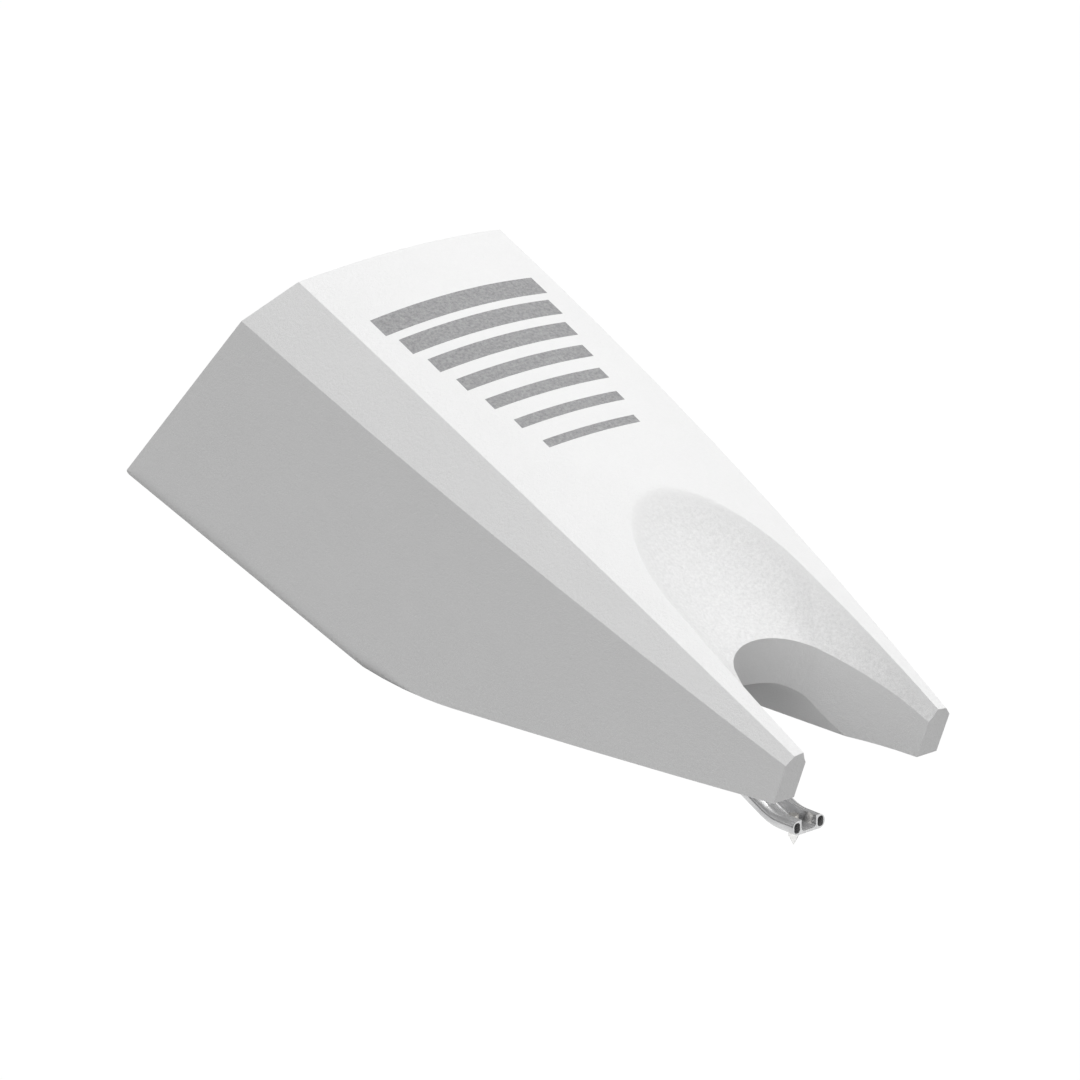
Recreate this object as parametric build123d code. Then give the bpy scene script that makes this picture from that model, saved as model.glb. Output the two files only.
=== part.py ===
from build123d import *
import math
import os

# Replaceable stylus unit of a plug-in phono cartridge.
# Every piece is drawn in the plug frame: X across, +Y back along the plug axis, Z square to the
# top, origin where the plug leaves its boss. At the end the whole unit is pitched nose-down into
# the playing attitude, with Z square to the record. A "station" is a distance forward from the
# rear edge of the top.

# Driving dimensions, in millimetres and degrees

# Attitude
plug_pitch = 25.0            # slope of the plug axis, and of the straight cantilever, to the record

# Shroud, outer form
top_length = 19.5
axis_depth = 4.3             # plug axis below the chord of the top
top_bow = 0.245              # lengthwise rise of the top over its chord
crown_radius = 17.5          # cross curve of the top
rear_width = 9.1
front_width = 5.6
side_bow = 0.31              # bulge of each side in plan
rear_top_width = 6.86        # top between its chamfers
front_top_width = 5.18
chamfer_angle = 49.6         # below the horizontal
chamfer_bow = 0.28
rear_lean = 17.2             # open rear face, top edge forward
front_lean = 3.75            # prong ends, bottom edge forward
bend_station = 7.95          # underside: where the two flats would meet
bend_depth = 7.34            # below the chord of the top
bend_radius = 14.0
bottom_rear_slope = 8.1
bottom_front_slope = 26.1
bottom_round = 0.63          # rounded lower rear corners, running out at the bend
heel_radius = 0.25           # lower edge of the open rear face

# Shroud, finger dish, sight notch and underside tunnel
dish_width = 4.66            # of the mouth, just above the top
dish_station = 10.36         # rear end of the mouth
dish_end_length = 3.74       # of its half-elliptical rear end
dish_level_station = 17.2    # where the mouth's plane meets the chord of the top
dish_slope = 2.2             # of that plane, down to the front
dish_bend_station = 12.5     # rear end of the dish at half its depth, where walls bend into floor
dish_bend_depth = 0.42
dish_depth = 0.9             # of the dish's lower edge at the rear end of the notch
dish_floor_slope = 4.45      # of that edge, up to the front
notch_width = 4.2            # at the prong ends
notch_end_radius = 1.5
notch_station = 15.1         # rear end of the notch
tunnel_width = 3.74          # at the underside
tunnel_height = 1.22
tunnel_draft = 24.5          # slope of its sides
tunnel_corner_radius = 0.72
tunnel_end_station = 10.95

# Shroud, inside
wall = 0.9
socket_station = 9.6         # front wall of the socket
seat_station = 8.2           # rear face of the boss, where the plug leaves it
boss_radius = 2.0

# Suspension tube, which is also the plug
tube_radius = 1.2            # of the plug
tube_land = 0.2              # what the pressed end stands proud of the plug
tube_wall = 0.2              # of the plug
tube_front_station = 10.9
plug_length = 4.2
plug_chamfer = 0.15

# Suspension
holder_rear_station = 6.4
damper_station = 9.0         # rear face of the damper
damper_length = 0.7
damper_gap = 0.05            # damper to magnet
wire_radius = 0.05
wire_inset = 0.4             # wire ends inside the holder's rear face and the sleeve's front end
magnet_radius = 0.65
magnet_length = 1.0
sleeve_length = 1.3
bond_gap = 0.01              # radial, on every glued or pressed joint

# Cantilever
cantilever_radius = 0.35
cantilever_wall = 0.06
flatten_start_station = 15.6
flatten_end_station = 16.6
flat_width = 1.1
flat_thickness = 0.38
tip_bend_station = 17.7      # from here the flat end turns up, parallel to the record
tip_bend_radius = 1.5
flat_end_length = 0.55
trough_width = 0.5
trough_corner_radius = 0.1
web_thickness = 0.07         # floor of the trough
lobe_wall = 0.05
lobe_depth = 0.6

# Stylus
shank_radius = 0.13
shank_top = 0.12             # above the middle of the flat end
shank_drop = 0.36            # below it
tip_land = 0.08
tip_length = 0.25
tip_point_radius = 0.018

reach = 60.0                 # longer than the part, for cutting blocks
past_front = 2.0             # how far the cutting blocks of the nose run past the prong ends


def at(station):
    """Plug-frame Y of a station."""
    return seat_station - station


def unit(degrees):
    angle = math.radians(degrees)
    return math.cos(angle), math.sin(angle)


def crossing(point_a, dir_a, point_b, dir_b):
    """Point where two lines in the YZ plane meet."""
    span_y = point_b[0] - point_a[0]
    span_z = point_b[1] - point_a[1]
    across = dir_a[0] * dir_b[1] - dir_a[1] * dir_b[0]
    along = (span_y * dir_b[1] - span_z * dir_b[0]) / across
    return point_a[0] + along * dir_a[0], point_a[1] + along * dir_a[1]


def bowed_circle(rear, front, bow):
    """Centre and radius of the arc through two (out, Y) points that bulges outward."""
    chord = math.dist(rear, front)
    radius = chord ** 2 / (8 * bow) + bow / 2
    out_normal = ((rear[1] - front[1]) / chord, (front[0] - rear[0]) / chord)
    back = radius - bow
    centre = ((rear[0] + front[0]) / 2 - back * out_normal[0],
              (rear[1] + front[1]) / 2 - back * out_normal[1])
    return centre, radius


def on_circle(centre, radius, y):
    return centre[0] + math.sqrt(radius ** 2 - (y - centre[1]) ** 2)


# Lines of the side view, as (Y, Z) points and directions
rear_top = (at(0), axis_depth)
front_top = (at(top_length), axis_depth)
bend = (at(bend_station), axis_depth - bend_depth)
rear_line = (unit(rear_lean)[1], -unit(rear_lean)[0])
front_line = (-unit(front_lean)[1], -unit(front_lean)[0])
bottom_rear_line = (unit(bottom_rear_slope)[0], -unit(bottom_rear_slope)[1])
bottom_front_line = (-unit(bottom_front_slope)[0], unit(bottom_front_slope)[1])
rear_bottom = crossing(rear_top, rear_line, bend, bottom_rear_line)
front_bottom = crossing(front_top, front_line, bend, bottom_front_line)

# Plan curve of the sides, and the chamfer's curve seen along its own slope
side_centre, side_radius = bowed_circle(
    (rear_width / 2, at(0)), (front_width / 2, at(top_length)), side_bow)
chamfer_cos, chamfer_sin = unit(chamfer_angle)


def chamfer_out(half_width):
    """Distance of a point of the crowned top from the plug axis, square to the chamfer."""
    sag = crown_radius - math.sqrt(crown_radius ** 2 - half_width ** 2)
    return chamfer_sin * half_width + chamfer_cos * (axis_depth - sag)


chamfer_centre, chamfer_radius = bowed_circle(
    (chamfer_out(rear_top_width / 2), at(0)),
    (chamfer_out(front_top_width / 2), at(top_length)), chamfer_bow)


def side_view_block(inset, rear_over):
    """Side view of the shroud drawn in by inset, its rear face moved back by rear_over."""
    headroom = 2.0
    rear_start = (rear_top[0] + rear_over, rear_top[1])
    low_rear = (bend[0] - bottom_rear_line[1] * inset, bend[1] + bottom_rear_line[0] * inset)
    low_front = (bend[0] + bottom_front_line[1] * inset, bend[1] - bottom_front_line[0] * inset)
    corner = crossing(low_rear, bottom_rear_line, low_front, bottom_front_line)
    heel_corner = crossing(rear_start, rear_line, low_rear, bottom_rear_line)
    ceiling = ((0, axis_depth + headroom), (1, 0))
    outline = Polyline(
        crossing(rear_start, rear_line, *ceiling),
        heel_corner,
        corner,
        crossing(front_top, front_line, low_front, bottom_front_line),
        crossing(front_top, front_line, *ceiling),
        close=True)
    face = make_face(outline)
    turn = min(face.vertices(), key=lambda v: math.dist((v.X, v.Y), corner))
    face = fillet(turn, bend_radius - inset)
    heel = min(face.vertices(), key=lambda v: math.dist((v.X, v.Y), heel_corner))
    face = fillet(heel, heel_radius)
    return extrude(Plane.YZ * face, reach / 2, both=True)


def crown_block(inset):
    """Crowned top: a shallow arch turned about a far cross axis below the part."""
    long_radius = top_length ** 2 / (8 * top_bow) + top_bow / 2
    apex = axis_depth + top_bow
    middle = at(top_length / 2)
    radius = crown_radius - inset
    half_width = rear_width
    edge = apex - inset - radius + math.sqrt(radius ** 2 - half_width ** 2)
    depth = edge - reach / 3
    arch = ThreePointArc((-half_width, edge), (0, apex - inset), (half_width, edge))
    sides = Polyline((half_width, edge), (half_width, depth), (-half_width, depth), (-half_width, edge))
    half_turn = math.degrees(math.asin(top_length / long_radius))
    hinge = Axis((0, middle, apex - long_radius), (1, 0, 0))
    section = Plane((0, middle, 0), x_dir=(1, 0, 0), z_dir=(0, -1, 0)) * make_face(arch + sides)
    return revolve(section.rotate(hinge, -half_turn), hinge, 2 * half_turn)


def bowed_face(centre, radius, inner):
    """Area inside a bowed edge, as (out, Y), well past both ends of the part."""
    rear_y = at(-top_length / 4)
    front_y = at(top_length * 1.25)
    middle_y = (rear_y + front_y) / 2
    rear = (on_circle(centre, radius, rear_y), rear_y)
    front = (on_circle(centre, radius, front_y), front_y)
    edge = ThreePointArc(rear, (on_circle(centre, radius, middle_y), middle_y), front)
    return make_face(edge + Polyline(front, (inner, front_y), (inner, rear_y), rear))


def both_sides(block):
    return block & mirror(block, about=Plane.YZ)


def hull(inset, rear_over):
    """Outer form of the shroud drawn in by inset."""
    side = bowed_face(side_centre, side_radius - inset, -reach / 2)
    chamfer = bowed_face(chamfer_centre, chamfer_radius - inset, -reach / 2)
    slope = Plane((0, 0, 0), x_dir=(chamfer_sin, 0, chamfer_cos), z_dir=(-chamfer_cos, 0, chamfer_sin))
    body = side_view_block(inset, rear_over) & crown_block(inset)
    body = body & both_sides(extrude(side, reach, both=True))
    return body & both_sides(extrude(slope * chamfer, reach, both=True))


def corner_round():
    """What is cut from the lower rear corner: rounded at the rim, sharp again at the bend."""
    rim_step = 0.05
    run_out = 0.3 * bottom_round
    past_rim = 1.0
    rim = Vector(on_circle(side_centre, side_radius, rear_bottom[0]) - bottom_round + rim_step,
                 rear_bottom[0], rear_bottom[1] + bottom_round)
    end = Vector(on_circle(side_centre, side_radius, bend[0]) - bottom_round + run_out,
                 bend[0], bend[1] + bottom_round - run_out)
    along = (end - rim).normalized()
    plane = Plane(rim - along * past_rim, x_dir=(1, 0, 0), z_dir=along)
    size = 3 * bottom_round
    section = Pos(size / 2, -size / 2) * Rectangle(size, size) - Circle(bottom_round)
    return extrude(plane * section, (end - rim).length + past_rim)


def notch_wall(draw_in):
    """Start, middle and end of one bowed wall of the sight notch, drawn in, as (out, Y)."""
    half_width = notch_width / 2 - draw_in
    end_radius = notch_end_radius - draw_in
    run = top_length - notch_station - notch_end_radius
    turn = 2 * math.atan((half_width - end_radius) / run)
    wall_radius = end_radius + run / math.sin(turn)
    return [(half_width - wall_radius * (1 - math.cos(angle)), at(top_length) + wall_radius * math.sin(angle))
            for angle in (turn, turn / 2, 0)]


def notch_plan(draw_in):
    """Plan of the sight notch: a round rear end, then bowed walls that end parallel at the prong ends."""
    start, middle, end = notch_wall(draw_in)
    plan = ThreePointArc((-start[0], start[1]), (0, at(notch_station + draw_in)), start)
    for side in (1, -1):
        arc = [(side * out, y) for out, y in (start, middle, end)]
        plan += ThreePointArc(*arc)
        plan += Line(arc[2], (arc[2][0], end[1] - past_front))
    plan += Line((-end[0], end[1] - past_front), (end[0], end[1] - past_front))
    return make_face(plan)


def dish_plan(station, walls):
    """Plan of the dish at one level: a half-elliptical rear end, then walls through (out, station) points."""
    start, middle, end = [(out, at(place)) for out, place in walls]
    length = at(station) - start[1]
    plan = EllipticalCenterArc((0, start[1]), start[0], length, start_angle=0, arc_size=180)
    for side in (1, -1):
        arc = [(side * out, y) for out, y in (start, middle, end)]
        plan += ThreePointArc(*arc)
        plan += Line(arc[2], (arc[2][0], end[1] - past_front))
    plan += Line((-end[0], end[1] - past_front), (end[0], end[1] - past_front))
    return make_face(plan)


def dish():
    """Finger dish: lofted from its mouth, through the bend of its walls, to the edge of the notch."""
    draw_in = 0.05
    bow = 0.02
    bend_share = 0.6
    headroom = 1.0
    cross = (1, 0, 0)
    half_width = dish_width / 2
    side_station = dish_station + dish_end_length
    mouth_walls = [(half_width - bow, side_station),
                   (half_width + bow, (side_station + top_length) / 2),
                   (half_width, top_length)]
    bend_walls = []
    for (out, station), (notch_out, notch_y) in zip(mouth_walls, notch_wall(draw_in)):
        bend_walls.append((out + bend_share * (notch_out - out),
                           station + bend_share * (seat_station - notch_y - station)))
    mouth = Pos(0, 0, axis_depth) * dish_plan(dish_station, mouth_walls)
    mouth = mouth.rotate(Axis((0, at(dish_level_station), axis_depth), cross), dish_slope)
    bend_level = Pos(0, 0, axis_depth - dish_bend_depth) * dish_plan(dish_bend_station, bend_walls)
    edge_z = axis_depth - dish_depth
    edge = Pos(0, 0, edge_z) * notch_plan(draw_in)
    edge = edge.rotate(Axis((0, at(notch_station), edge_z), cross), -dish_floor_slope)
    return loft([edge, bend_level, mouth]) + extrude(mouth, headroom)


def notch():
    """Sight notch, right through the nose."""
    return extrude(notch_plan(0), reach / 2, both=True)


def tunnel():
    """Arched channel that follows the front half of the underside."""
    below = 2.0
    start = crossing((at(tunnel_end_station), 0), (0, 1), bend, bottom_front_line)
    draft = math.tan(math.radians(tunnel_draft))
    top_half = tunnel_width / 2 - tunnel_height * draft
    foot_half = tunnel_width / 2 + below * draft
    section = make_face(Polyline(
        (-foot_half, -below), (foot_half, -below), (top_half, tunnel_height), (-top_half, tunnel_height),
        close=True))
    section = fillet(section.vertices().group_by(Axis.Y)[-1], tunnel_corner_radius)
    forward = (0, bottom_front_line[0], bottom_front_line[1])
    plane = Plane((0, start[0], start[1]), x_dir=(1, 0, 0), z_dir=forward)
    return extrude(plane * section, top_length)


def rod(radius, rear_station, front_station):
    """Round bar along the plug axis."""
    plane = Plane((0, at(rear_station), 0), x_dir=(1, 0, 0), z_dir=(0, -1, 0))
    return extrude(plane * Circle(radius), front_station - rear_station)


def pipe(radius, bore, rear_station, front_station):
    return rod(radius, rear_station, front_station) - rod(bore, rear_station, front_station)


def make_shroud():
    body = hull(0, 0)
    corner = corner_round()
    body = body - corner - mirror(corner, about=Plane.YZ)
    socket = hull(wall, wall) & Pos(0, at(socket_station), 0) * Box(
        reach, reach, reach, align=(Align.CENTER, Align.MIN, Align.CENTER))
    socket = socket - rod(boss_radius, seat_station, socket_station)
    bore = rod(tube_radius + tube_land + bond_gap, seat_station, notch_station)
    return body - socket - dish() - notch() - tunnel() - bore


tube_bore = tube_radius - tube_wall
damper_front_station = damper_station + damper_length
magnet_station = damper_front_station + damper_gap
wire_bore = wire_radius + bond_gap
cantilever_bore = cantilever_radius - cantilever_wall


def make_suspension_tube():
    """Drawn tube: a larger end pressed into the boss and a free end, the plug."""
    rear_station = seat_station - plug_length
    plug = pipe(tube_radius, tube_bore, rear_station, seat_station)
    pressed_end = pipe(tube_radius + tube_land, tube_bore, seat_station, tube_front_station)
    tube = plug + pressed_end
    rear_edges = tube.edges().group_by(Axis.Y)[-1].sort_by(SortBy.RADIUS)
    return chamfer(rear_edges[-1], plug_chamfer)


def make_wire_holder():
    return pipe(tube_bore - bond_gap, wire_bore, holder_rear_station, damper_station)


def make_tie_wire():
    return rod(wire_radius, holder_rear_station + wire_inset, magnet_station + sleeve_length - wire_inset)


def make_damper():
    return pipe(tube_bore - bond_gap, wire_bore, damper_station, damper_front_station)


def make_magnet():
    return pipe(magnet_radius, cantilever_radius + bond_gap, magnet_station, magnet_station + magnet_length)


def make_joint_sleeve():
    return pipe(cantilever_bore - bond_gap, wire_bore, magnet_station, magnet_station + sleeve_length)


# Flat end of the cantilever: straight, then an arc that ends parallel to the record
pitch_cos, pitch_sin = unit(plug_pitch)
arc_end = Vector(0, at(tip_bend_station) - tip_bend_radius * pitch_sin, tip_bend_radius * (1 - pitch_cos))
end_forward = Vector(0, -pitch_cos, pitch_sin)
flat_end = arc_end + end_forward * flat_end_length
record_up = Vector(0, pitch_sin, pitch_cos)
shank_plane = Plane(arc_end, x_dir=(1, 0, 0), z_dir=record_up)


def flat_path():
    start = Vector(0, at(flatten_end_station), 0)
    turn = Vector(0, at(tip_bend_station), 0)
    half = math.radians(plug_pitch) / 2
    middle = turn + Vector(0, -tip_bend_radius * math.sin(half), tip_bend_radius * (1 - math.cos(half)))
    return Line(start, turn) + ThreePointArc(turn, middle, arc_end) + Line(arc_end, flat_end)


def across(station):
    """Plane square to the plug axis, looking forward."""
    return Plane((0, at(station), 0), x_dir=(1, 0, 0), z_dir=(0, -1, 0))


def make_cantilever():
    """Thin tube, pressed flat and dished towards its end, which leaves two open lobes."""
    tube = rod(cantilever_radius, magnet_station, flatten_start_station)
    round_slot = SlotOverall(2 * cantilever_radius + bond_gap, 2 * cantilever_radius)
    flat_slot = SlotOverall(flat_width, flat_thickness)
    taper = loft([across(flatten_start_station) * round_slot, across(flatten_end_station) * flat_slot])
    path = flat_path()
    groove_depth = flat_thickness - web_thickness
    groove = Pos(0, flat_thickness / 2) * RectangleRounded(trough_width, 2 * groove_depth, trough_corner_radius)
    strip = sweep(across(flatten_end_station) * (flat_slot - groove), path)
    run_out = Vector(0, flatten_end_station - flatten_start_station,
                     groove_depth + cantilever_radius - flat_thickness / 2)
    taper = taper - extrude(across(flatten_end_station) * groove, run_out.length, dir=run_out)
    lobe_width = (flat_width - trough_width) / 2 - 2 * lobe_wall
    lobe_height = flat_thickness - 2 * lobe_wall
    lobe = RectangleRounded(lobe_width, lobe_height, 0.45 * min(lobe_width, lobe_height))
    end_plane = Plane(flat_end, x_dir=(1, 0, 0), z_dir=end_forward)
    lobe_offset = (flat_width - lobe_width) / 2 - lobe_wall
    lobes = [Pos(side * lobe_offset, 0) * lobe for side in (1, -1)]
    body = tube + taper + strip
    body = body - extrude(end_plane * (lobes[0] + lobes[1]), -lobe_depth)
    body = body - rod(cantilever_bore, magnet_station, flatten_start_station)
    return body - extrude(shank_plane * Circle(shank_radius + bond_gap), flat_width, both=True)


def make_stylus_shank():
    return extrude(shank_plane.offset(-shank_drop) * Circle(shank_radius), shank_drop + shank_top)


def make_diamond_tip():
    """Short land under the shank, then a cone with a rounded point."""
    top = -shank_drop
    land = top - tip_land
    point = land - tip_length
    slant = math.atan2(shank_radius, tip_length)
    tangent = (tip_point_radius * math.cos(slant), point + tip_point_radius * (1 - math.sin(slant)))
    middle = (tip_point_radius * math.sin(math.radians(30)),
              point + tip_point_radius * (1 - math.cos(math.radians(30))))
    outline = Polyline((0, top), (shank_radius, top), (shank_radius, land), tangent)
    outline += ThreePointArc(tangent, middle, (0, point)) + Line((0, point), (0, top))
    profile = Plane.XZ * make_face(outline)
    return shank_plane.location * revolve(profile, Axis.Z)


nodes = {
    "shroud": make_shroud(),
    "suspension_tube": make_suspension_tube(),
    "wire_holder": make_wire_holder(),
    "tie_wire": make_tie_wire(),
    "damper": make_damper(),
    "magnet": make_magnet(),
    "joint_sleeve": make_joint_sleeve(),
    "cantilever": make_cantilever(),
    "stylus_shank": make_stylus_shank(),
    "diamond_tip": make_diamond_tip(),
}

playing_attitude = Rot(X=plug_pitch)
os.makedirs("parts", exist_ok=True)
for name, solid in nodes.items():
    export_step(playing_attitude * solid, f"parts/{name}.step")
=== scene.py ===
import math

import bpy
from mathutils import Matrix, Vector


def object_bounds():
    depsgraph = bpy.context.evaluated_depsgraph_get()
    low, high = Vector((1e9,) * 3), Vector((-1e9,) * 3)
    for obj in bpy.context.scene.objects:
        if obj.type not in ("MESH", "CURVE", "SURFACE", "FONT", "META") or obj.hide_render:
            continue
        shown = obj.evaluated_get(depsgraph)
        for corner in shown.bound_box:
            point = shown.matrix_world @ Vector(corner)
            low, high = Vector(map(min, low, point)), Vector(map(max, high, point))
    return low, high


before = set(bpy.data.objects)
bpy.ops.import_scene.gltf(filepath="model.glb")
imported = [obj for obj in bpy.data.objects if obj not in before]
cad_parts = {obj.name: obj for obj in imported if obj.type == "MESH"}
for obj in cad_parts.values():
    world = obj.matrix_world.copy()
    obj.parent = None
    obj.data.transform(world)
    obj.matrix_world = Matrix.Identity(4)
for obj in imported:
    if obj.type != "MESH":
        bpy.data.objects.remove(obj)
cad_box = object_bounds()

MM = 0.001

# The part's own values, which the materials follow, in millimetres and radians. They belong to its
# plug frame: X across, +Y back along the plug axis, Z square to the top. A station is a distance
# forward from the rear edge of the top.
PLUG_PITCH = math.radians(25.0)
SEAT_STATION = 8.2              # of the plug frame's origin
AXIS_DEPTH = 4.3                # plug axis below the chord of the top
TOP_LENGTH = 19.5
TOP_BOW = 0.245
CROWN_RADIUS = 17.5
REAR_LEAN = math.radians(17.2)  # of the open rear face

SOFTBOX_SIZE = 0.3              # metres


class Graph:
    """A material's or world's node tree, built by calls that set or link each input by name."""

    def __init__(self, owner):
        self.owner = owner
        owner.use_nodes = True
        self.tree = owner.node_tree
        self.tree.nodes.clear()

    def add(self, kind, inputs=None, **settings):
        node = self.tree.nodes.new("ShaderNode" + kind)
        for key, value in settings.items():
            setattr(node, key, value)
        for key, value in (inputs or {}).items():
            self.fill(node.inputs[key], value)
        return node

    def fill(self, socket, value):
        if isinstance(value, bpy.types.NodeSocket):
            self.tree.links.new(value, socket)
        else:
            socket.default_value = value

    def math(self, operation, *values):
        return self.add("Math", dict(enumerate(values)), operation=operation).outputs[0]

    def coords(self, scale=(1, 1, 1), turn=0.0):
        """Row-frame position in millimetres, turned about X and then scaled."""
        place = self.add("TexCoord").outputs["Object"]
        turned = self.add("Mapping", {"Vector": place, "Rotation": (turn, 0, 0)}).outputs[0]
        return self.scaled(turned, tuple(s / MM for s in scale))

    def scaled(self, vector, level):
        return self.add("VectorMath", {0: vector, 1: level}, operation="MULTIPLY").outputs[0]

    def noise(self, vector, scale, detail=2.0, roughness=0.5):
        inputs = {"Vector": vector, "Scale": scale, "Detail": detail, "Roughness": roughness}
        return self.add("TexNoise", inputs).outputs["Fac"]

    def ramp(self, value, start, end):
        """0 up to start, 1 from end on; start may be the larger."""
        inputs = {"Value": value, "From Min": start, "From Max": end}
        return self.add("MapRange", inputs).outputs["Result"]

    def spread(self, value, low, high):
        """Remaps 0..1 to low..high."""
        inputs = {"Value": value, "To Min": low, "To Max": high}
        return self.add("MapRange", inputs).outputs["Result"]

    def tint(self, factor, colour_a, colour_b):
        """Mix of two colours. A Mix node's sockets share names, so its colours go by number."""
        in_a, in_b, out = 6, 7, 2
        node = self.add("Mix", {"Factor": factor}, data_type="RGBA")
        for index, colour in ((in_a, colour_a), (in_b, colour_b)):
            self.fill(node.inputs[index], (*colour, 1) if isinstance(colour, tuple) else colour)
        return node.outputs[out]

    def every(self, *tests):
        """Product of the tests: 1 where all of them hold."""
        whole = tests[0]
        for test in tests[1:]:
            whole = self.math("MULTIPLY", whole, test)
        return whole

    def any_ray(self, *kinds):
        """1 for rays of any of the kinds named."""
        rays = self.add("LightPath").outputs
        seen = rays[kinds[0]]
        for kind in kinds[1:]:
            seen = self.math("MAXIMUM", seen, rays[kind])
        return seen

    def open_sky(self, distance):
        """1 where nothing stands within the distance, less in hollows."""
        return self.add("AmbientOcclusion", {"Distance": distance}, samples=8).outputs["AO"]

    def bump(self, height, strength, distance, **normal):
        inputs = {"Height": height, "Strength": strength, "Distance": distance, **normal}
        return self.add("Bump", inputs).outputs[0]

    def surface(self, **inputs):
        named = {key.replace("_", " "): value for key, value in inputs.items()}
        shader = self.add("BsdfPrincipled", named)
        self.add("OutputMaterial", {"Surface": shader.outputs[0]})
        return self.owner


def paint(name):
    """Graph of a new material."""
    return Graph(bpy.data.materials.new(name))


def grey(level):
    return (level, level, level)


def printed_bars(g, across, station, height):
    """Printed motif on the top: bars across it, graded in length and weight. 1 where inked."""
    first, pitch, count = 1.9, 0.92, 7
    weight, weight_step = 0.74, 0.07            # share of the pitch that is inked
    half_length, length_step = 2.75, 0.2
    above = 3.75                                # the top, and not the hollow under it
    place = g.math("DIVIDE", g.math("SUBTRACT", station, first), pitch)
    index = g.math("FLOOR", place)
    off_middle = g.math("ABSOLUTE", g.math("SUBTRACT", g.math("FRACT", place), 0.5))
    bar_weight = g.math("SUBTRACT", weight, g.math("MULTIPLY", index, weight_step))
    bar_half_length = g.math("SUBTRACT", half_length, g.math("MULTIPLY", index, length_step))
    return g.every(
        g.math("LESS_THAN", off_middle, g.math("MULTIPLY", bar_weight, 0.5)),
        g.math("LESS_THAN", across, bar_half_length),
        g.math("GREATER_THAN", place, 0.0),
        g.math("LESS_THAN", place, float(count)),
        g.math("GREATER_THAN", height, above))


def dish_grain_and_shade(g, across, station, height):
    """Where the moulding is coarser and the colour gets a slight painted shade: the finger dish, below
    the crowned top. Fades in at its rim.
    """
    rim_fade = (0.02, 0.25)                     # depth below the top
    half_width, rear_station = 2.34, 10.2
    least_facing = 0.3                          # leaves out the walls of the notch
    along = g.math("DIVIDE", g.math("SUBTRACT", station, TOP_LENGTH / 2), TOP_LENGTH / 2)
    bow = g.math("MULTIPLY", g.math("SUBTRACT", 1.0, g.math("MULTIPLY", along, along)), TOP_BOW)
    sag = g.math("DIVIDE", g.math("MULTIPLY", across, across), 2 * CROWN_RADIUS)
    crown = g.math("ADD", AXIS_DEPTH, g.math("SUBTRACT", bow, sag))
    up = (0, -math.sin(PLUG_PITCH), math.cos(PLUG_PITCH))
    true_normal = g.add("NewGeometry").outputs["True Normal"]
    facing = g.add("VectorMath", {0: true_normal, 1: up}, operation="DOT_PRODUCT").outputs["Value"]
    return g.every(
        g.ramp(g.math("SUBTRACT", crown, height), *rim_fade),
        g.math("LESS_THAN", across, half_width),
        g.math("GREATER_THAN", station, rear_station),
        g.math("GREATER_THAN", facing, least_facing))


def eased_edges(g, across, station, height):
    """Normal that eases the lower rear edge as far as the bend, and the rear end of the dish's rim."""
    heel_radius, heel_top = 0.5 * MM, 0.0
    rim_fade = (0.05, 0.3)                      # distance ahead of the open rear face
    bend_fade = (8.8, 7.4)                      # stations
    dish_radius, dish_bottom, dish_half_width = 0.35 * MM, 3.0, 2.6
    dish_fade_in, dish_fade_out = (9.4, 10.0), (12.2, 10.8)
    lean = g.math("MULTIPLY", g.math("SUBTRACT", AXIS_DEPTH, height), math.tan(REAR_LEAN))
    heel = g.every(
        g.math("LESS_THAN", height, heel_top),
        g.ramp(g.math("ADD", station, lean), *rim_fade),
        g.ramp(station, *bend_fade))
    dish_end = g.every(
        g.math("GREATER_THAN", height, dish_bottom),
        g.math("LESS_THAN", across, dish_half_width),
        g.ramp(station, *dish_fade_in),
        g.ramp(station, *dish_fade_out))
    radius = g.math(
        "ADD", g.math("MULTIPLY", heel, heel_radius), g.math("MULTIPLY", dish_end, dish_radius))
    return g.add("Bevel", {"Radius": radius}, samples=8).outputs[0]


def moulded_plastic():
    """White moulding with a fine grain, coarser in the dish, with painted shade that darkens its
    colour in the hollows of the nose and a little over the dish.
    """
    grain_per_mm, patch_per_mm = 11.0, 0.5
    plain_speckle, dish_speckle, dish_shade_level = 0.06, 0.5, 0.98
    sky_distance, hollow_shade_level = 2.4 * MM, 0.36
    nose_fade = (10.0, 11.0)                    # stations
    ink_gloss = 0.08
    g = paint("moulded_plastic")
    place = g.coords()
    plug = g.add("SeparateXYZ", {0: g.coords(turn=-PLUG_PITCH)}).outputs
    station = g.math("SUBTRACT", SEAT_STATION, plug["Y"])
    where = (g.math("ABSOLUTE", plug["X"]), station, plug["Z"])
    grain = g.noise(place, grain_per_mm, detail=5.0, roughness=0.75)
    white = g.tint(g.noise(place, patch_per_mm), grey(0.83), grey(0.86))
    ink = printed_bars(g, *where)
    coarse_and_shaded = dish_grain_and_shade(g, *where)
    contrast = g.spread(coarse_and_shaded, plain_speckle, dish_speckle)
    speckle = g.math("MULTIPLY", g.math("SUBTRACT", grain, 0.5), contrast)
    nose = g.ramp(station, *nose_fade)
    # Painted shade: the colour is darkened in the hollows of the nose, the more the nearer other
    # surfaces stand.
    shade = g.spread(nose, 1.0, g.spread(g.open_sky(sky_distance), hollow_shade_level, 1.0))
    # Besides the grain, the dish's colour is multiplied down a little as painted shade.
    level = g.every(g.math("ADD", 1.0, speckle), shade, g.spread(coarse_and_shaded, 1.0, dish_shade_level))
    ink_tone = g.tint(g.spread(grain, -0.5, 1.5), (0.14, 0.14, 0.145), (0.42, 0.42, 0.425))
    colour = g.tint(ink, g.scaled(white, level), ink_tone)
    roughness = g.math("SUBTRACT", g.spread(grain, 0.5, 0.64), g.math("MULTIPLY", ink, ink_gloss))
    normal = g.bump(grain, strength=0.6, distance=0.03 * MM, Normal=eased_edges(g, *where))
    return g.surface(Base_Color=colour, Roughness=roughness, Normal=normal)


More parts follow.
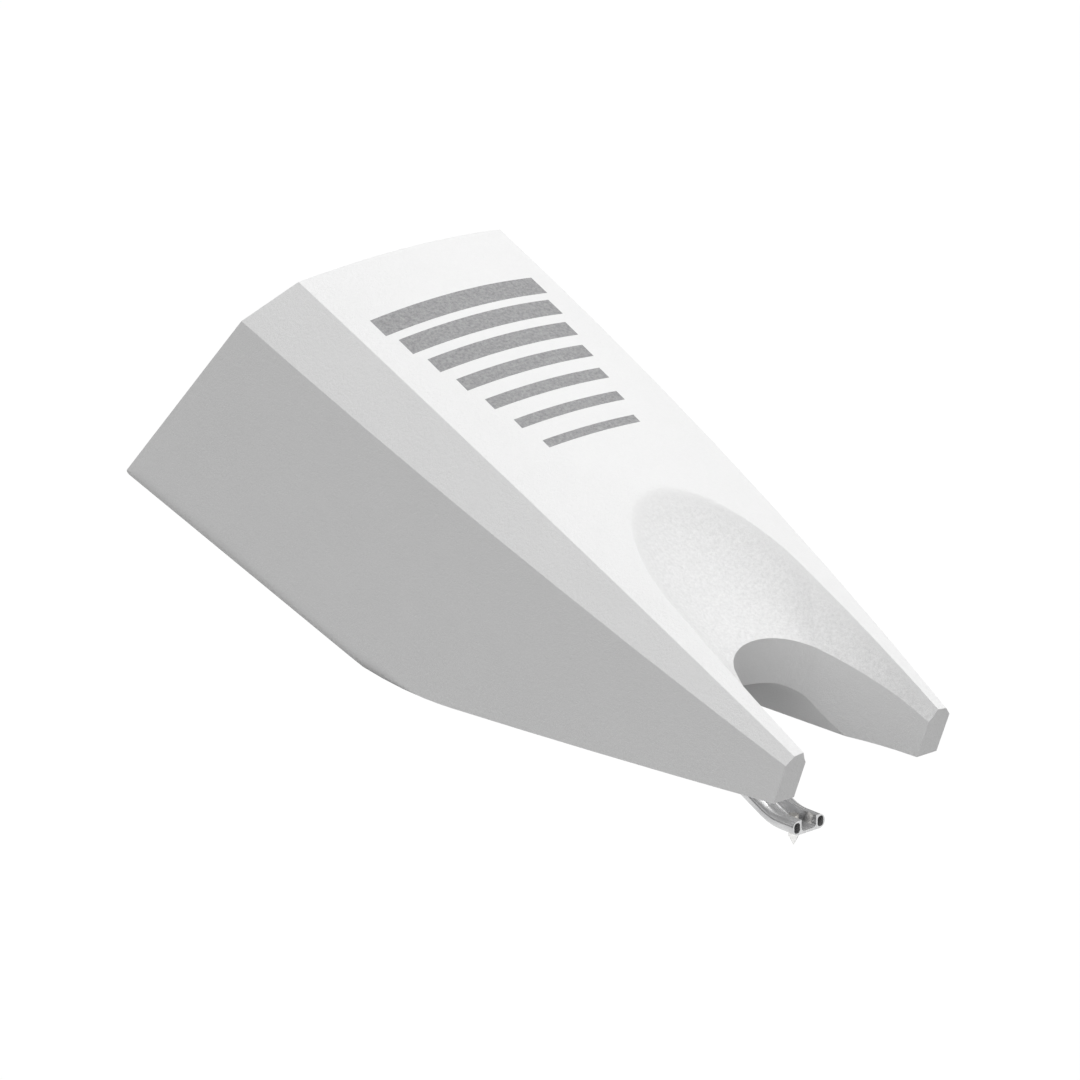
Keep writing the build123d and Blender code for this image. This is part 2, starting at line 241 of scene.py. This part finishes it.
def drawn_metal(name, tone_a, tone_b, rough_low, rough_high,
                stretch=(1, 0.08, 1), fineness=14.0, contrast=0.8, metallic=0.85):
    """Metal with fine streaks along the plug axis, with painted shade darkening its colour inside its
    small bores.
    """
    bore_distance, bore_fade = 0.22 * MM, (0.1, 0.75)
    g = paint(name)
    place = g.coords(scale=stretch, turn=-PLUG_PITCH)
    streak = g.ramp(g.noise(place, fineness, detail=4.0), 0.5 - contrast, 0.5 + contrast)
    # Painted shade: the colour is darkened inside the small bores, where other surfaces stand close.
    painted_bore_shade = g.ramp(g.open_sky(bore_distance), *bore_fade)
    return g.surface(
        Base_Color=g.scaled(g.tint(streak, tone_a, tone_b), painted_bore_shade),
        Metallic=metallic,
        Roughness=g.spread(streak, rough_low, rough_high),
        Normal=g.bump(streak, strength=0.1, distance=0.01 * MM))


def rubber():
    """Black rubber with a fine grain."""
    g = paint("damper_rubber")
    grain = g.noise(g.coords(), scale=20.0, detail=3.0)
    return g.surface(
        Base_Color=g.tint(grain, (0.015, 0.015, 0.015), (0.035, 0.035, 0.034)),
        Roughness=g.spread(grain, 0.7, 0.9),
        Normal=g.bump(grain, strength=0.3, distance=0.01 * MM))


def diamond():
    """Clear tip with a slight haze."""
    g = paint("tip_diamond")
    haze = g.noise(g.coords(), scale=30.0)
    return g.surface(
        Base_Color=g.tint(haze, (0.95, 0.945, 0.93), (0.99, 0.985, 0.97)),
        Roughness=g.spread(haze, 0.1, 0.2),
        IOR=1.4,
        Transmission_Weight=0.9)


finishes = {
    "shroud": moulded_plastic(),
    "suspension_tube": drawn_metal(
        "tube_metal", (0.72, 0.72, 0.74), (0.84, 0.84, 0.86), 0.18, 0.34),
    "wire_holder": drawn_metal(
        "holder_brass", (0.74, 0.56, 0.28), (0.84, 0.68, 0.40), 0.2, 0.36),
    "tie_wire": drawn_metal(
        "wire_steel", (0.5, 0.5, 0.52), (0.62, 0.62, 0.64), 0.2, 0.35),
    "damper": rubber(),
    "magnet": drawn_metal(
        "magnet_metal", (0.42, 0.42, 0.44), (0.55, 0.55, 0.57), 0.25, 0.45, stretch=(1, 1, 1)),
    "joint_sleeve": drawn_metal(
        "sleeve_aluminium", (0.72, 0.72, 0.74), (0.8, 0.8, 0.82), 0.25, 0.4),
    "cantilever": drawn_metal(
        "cantilever_aluminium", (0.70, 0.70, 0.71), (1.0, 1.0, 1.0), 0.12, 0.3,
        stretch=(1, 0.05, 0.05), fineness=22.0, contrast=0.2, metallic=0.68),
    "stylus_shank": drawn_metal(
        "shank_metal", (0.70, 0.68, 0.64), (0.80, 0.78, 0.74), 0.15, 0.3, stretch=(1, 1, 0.1)),
    "diamond_tip": diamond(),
}
for name, material in finishes.items():
    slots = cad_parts[name].data.materials
    slots.clear()
    slots.append(material)


def stage_floor():
    """Wide pale floor, well below the part, that reads white from the camera."""
    half, drop = 3.0, 40 * MM
    mirrored_share, glow_share, glow_level = 0.55, 0.85, 1.02
    level = cad_box[0][2] - drop
    mesh = bpy.data.meshes.new("floor")
    corners = [(x * half, y * half, level) for x, y in ((-1, -1), (1, -1), (1, 1), (-1, 1))]
    mesh.from_pydata(corners, [], [(0, 1, 2, 3)])
    floor = bpy.data.objects.new("floor", mesh)
    bpy.context.collection.objects.link(floor)
    g = paint("pale_floor")
    mirrored = g.math("MULTIPLY", g.any_ray("Is Glossy Ray"), mirrored_share)
    seen = g.math("MAXIMUM", g.any_ray("Is Camera Ray", "Is Transmission Ray"), mirrored)
    paper = g.tint(g.noise(g.coords(), scale=0.2), grey(0.26), grey(0.28))
    matt = g.add("BsdfDiffuse", {"Color": g.tint(seen, paper, grey(0.95))})
    glow = g.add("Emission", {"Color": (1, 1, 1, 1), "Strength": glow_level})
    share = g.math("MULTIPLY", seen, glow_share)
    mix = g.add("MixShader", {0: share, 1: matt.outputs[0], 2: glow.outputs[0]})
    g.add("OutputMaterial", {"Surface": mix.outputs[0]})
    mesh.materials.append(g.owner)


def studio_world():
    """White surround to the eye, a plain even light on the part, and in metal a dim low band."""
    fill, band_level = 0.62, 0.1
    band_fade = (0.22, 0.42)                    # height of the direction, 1 being straight up
    g = Graph(bpy.data.worlds.new("studio"))
    bpy.context.scene.world = g.owner
    height = g.add("SeparateXYZ", {0: g.add("TexCoord").outputs["Generated"]}).outputs["Z"]
    mirrored = g.spread(g.ramp(height, *band_fade), band_level, 1.0)
    light = g.add("Mix", {"Factor": g.any_ray("Is Glossy Ray"), "A": fill, "B": mirrored})
    seen = g.any_ray("Is Camera Ray", "Is Transmission Ray")
    level = g.add("Mix", {"Factor": seen, "A": light.outputs[0], "B": 1.0})
    glow = g.add("Background", {"Color": (1, 1, 1, 1), "Strength": level.outputs[0]})
    g.add("OutputWorld", {"Surface": glow.outputs[0]})


def softbox(name, place, power):
    """Square area light aimed at the origin."""
    data = bpy.data.lights.new(name, "AREA")
    data.shape = "SQUARE"
    data.size = SOFTBOX_SIZE
    data.energy = power
    lamp = bpy.data.objects.new(name, data)
    lamp.location = place
    lamp.rotation_euler = (-Vector(place)).to_track_quat("-Z", "Y").to_euler()
    bpy.context.collection.objects.link(lamp)


def photo_camera():
    """Long lens at the photograph's place, level, looking along its axis."""
    place = Vector((-139.26, -156.94, 74.45)) * MM
    right = Vector((0.7490, -0.6626, 0.0009)).normalized()
    forward = Vector((0.6254, 0.7065, -0.3311)).normalized()
    up = right.cross(forward)
    data = bpy.data.cameras.new("camera")
    data.lens = 288.82
    data.sensor_width = 36.0
    data.clip_start = 0.01
    camera = bpy.data.objects.new("camera", data)
    turn = Matrix((right, up, -forward)).transposed()
    camera.matrix_world = Matrix.Translation(place) @ turn.to_4x4()
    bpy.context.collection.objects.link(camera)
    bpy.context.scene.camera = camera


stage_floor()
studio_world()
softbox("overhead_right", (0.275, 0.04, 0.416), 1.13)
softbox("overhead_left", (-0.25, -0.05, 0.43), 0.25)
softbox("front_fill", (-0.21, -0.396, 0.047), 0.38)
photo_camera()
bpy.context.scene.view_settings.view_transform = "Standard"
